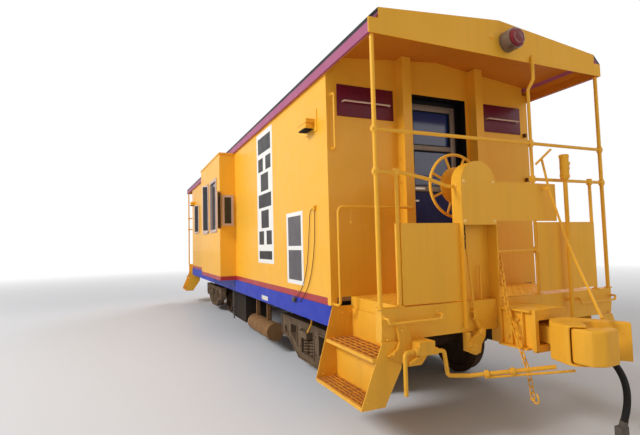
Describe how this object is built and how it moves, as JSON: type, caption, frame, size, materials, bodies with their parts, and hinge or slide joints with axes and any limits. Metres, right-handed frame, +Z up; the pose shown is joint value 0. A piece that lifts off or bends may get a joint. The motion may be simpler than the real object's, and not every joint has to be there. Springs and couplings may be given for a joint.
{
  "type": "bay window caboose",
  "caption": "Railway brake van with bay windows, end platforms with steps and railings, on two four-wheel trucks.",
  "frame": {"origin": "on the floor plane under the middle of the car, at the height of the wheel flanges' lowest points", "axes": "+X along the car towards the front platform, +Y to the car's left, +Z up"},
  "size_m": [13.758, 3.6584, 3.8148],
  "materials": {
    "body_yellow": "satin paint",
    "sill_blue": "satin paint",
    "door_navy": "satin paint",
    "window_grey": "dull",
    "window_glass": "clear",
    "truck_brown": "dusty",
    "wheel_steel": "worn",
    "underframe_black": "dusty",
    "reservoir_tan": "dusty",
    "hose_black": "matt",
    "fitting_grey": "worn",
    "lamp_housing": "bright",
    "floor_wood": "worn boards"
  },
  "bodies": {
    "root": {"roof": "body_yellow", "side_wall_right": "body_yellow", "side_wall_left": "body_yellow", "bay_right": "body_yellow", "bay_left": "body_yellow", "end_wall_front": "body_yellow", "end_wall_rear": "body_yellow", "window_frames": "window_grey", "window_glass": "window_glass", "centre_sill": "underframe_black", "side_sills": "sill_blue", "cabin_floor": "floor_wood", "steps": "body_yellow", "end_railings": "body_yellow", "railing_panels": "body_yellow", "grab_irons": "body_yellow", "uncoupling_gear": "body_yellow", "coupler_lift_rods": "body_yellow", "backup_valves": "body_yellow", "end_lamps": "lamp_housing", "marker_brackets": "body_yellow", "gate_chains": "body_yellow", "air_reservoirs": "reservoir_tan", "equipment_boxes": "underframe_black", "brake_pipes": "underframe_black", "end_platforms": "body_yellow", "brake_stands": "body_yellow", "draft_boxes": "body_yellow", "air_hose_front": "hose_black", "air_hose_rear": "hose_black", "glad_hand_front": "fitting_grey", "glad_hand_rear": "fitting_grey"},
    "truck_front": {"side_frames_front": "truck_brown", "truck_bolster_front": "truck_brown", "truck_springs_front": "truck_brown", "brake_beams_front": "truck_brown"},
    "truck_rear": {"side_frames_rear": "truck_brown", "truck_bolster_rear": "truck_brown", "truck_springs_rear": "truck_brown", "brake_beams_rear": "truck_brown"},
    "wheelset_1": {"axle_1": "wheel_steel", "wheels_1": "wheel_steel"},
    "wheelset_2": {"axle_2": "wheel_steel", "wheels_2": "wheel_steel"},
    "wheelset_3": {"axle_3": "wheel_steel", "wheels_3": "wheel_steel"},
    "wheelset_4": {"axle_4": "wheel_steel", "wheels_4": "wheel_steel"},
    "door_front": {"door_front": "door_navy", "door_glass_front": "window_glass"},
    "door_rear": {"door_rear": "door_navy", "door_glass_rear": "window_glass"},
    "brake_wheel_front": {"brake_wheel_front": "body_yellow"},
    "brake_wheel_rear": {"brake_wheel_rear": "body_yellow"},
    "coupler_front": {"coupler_front": "body_yellow"},
    "knuckle_front": {"knuckle_front": "body_yellow"},
    "coupler_rear": {"coupler_rear": "body_yellow"},
    "knuckle_rear": {"knuckle_rear": "body_yellow"}
  },
  "joints": [
    {"name": "truck_swivel_front", "type": "hinge", "parent": "root", "child": "truck_front", "pos_m": [3.427, 0, 0.69], "axis": [0, 0, 1], "range_deg": [-8, 8]},
    {"name": "truck_swivel_rear", "type": "hinge", "parent": "root", "child": "truck_rear", "pos_m": [-3.427, 0, 0.69], "axis": [0, 0, 1], "range_deg": [-8, 8]},
    {"name": "wheelset_1_spin", "type": "hinge", "parent": "truck_front", "child": "wheelset_1", "pos_m": [4.265, 0, 0.4444], "axis": [0, 1, 0], "continuous": true},
    {"name": "wheelset_2_spin", "type": "hinge", "parent": "truck_front", "child": "wheelset_2", "pos_m": [2.589, 0, 0.4444], "axis": [0, 1, 0], "continuous": true},
    {"name": "wheelset_3_spin", "type": "hinge", "parent": "truck_rear", "child": "wheelset_3", "pos_m": [-2.589, 0, 0.4444], "axis": [0, 1, 0], "continuous": true},
    {"name": "wheelset_4_spin", "type": "hinge", "parent": "truck_rear", "child": "wheelset_4", "pos_m": [-4.265, 0, 0.4444], "axis": [0, 1, 0], "continuous": true},
    {"name": "door_swing_front", "type": "hinge", "parent": "root", "child": "door_front", "pos_m": [4.797, 0.405, 1.2], "axis": [0, 0, -1], "range_deg": [0, 100]},
    {"name": "door_swing_rear", "type": "hinge", "parent": "root", "child": "door_rear", "pos_m": [-4.797, -0.405, 1.2], "axis": [0, 0, -1], "range_deg": [0, 100]},
    {"name": "brake_wheel_spin_front", "type": "hinge", "parent": "root", "child": "brake_wheel_front", "pos_m": [5.657, -0.375, 2.235], "axis": [1, 0, 0], "continuous": true},
    {"name": "brake_wheel_spin_rear", "type": "hinge", "parent": "root", "child": "brake_wheel_rear", "pos_m": [-5.657, 0.375, 2.235], "axis": [1, 0, 0], "continuous": true},
    {"name": "coupler_swing_front", "type": "hinge", "parent": "root", "child": "coupler_front", "pos_m": [5.637, 0, 0.901], "axis": [0, 0, 1], "range_deg": [-6, 6]},
    {"name": "knuckle_open_front", "type": "hinge", "parent": "coupler_front", "child": "knuckle_front", "pos_m": [6.702, -0.165, 0.901], "axis": [0, 0, -1], "range_deg": [0, 45]},
    {"name": "coupler_swing_rear", "type": "hinge", "parent": "root", "child": "coupler_rear", "pos_m": [-5.637, 0, 0.901], "axis": [0, 0, 1], "range_deg": [-6, 6]},
    {"name": "knuckle_open_rear", "type": "hinge", "parent": "coupler_rear", "child": "knuckle_rear", "pos_m": [-6.702, 0.165, 0.901], "axis": [0, 0, -1], "range_deg": [0, 45]}
  ]
}
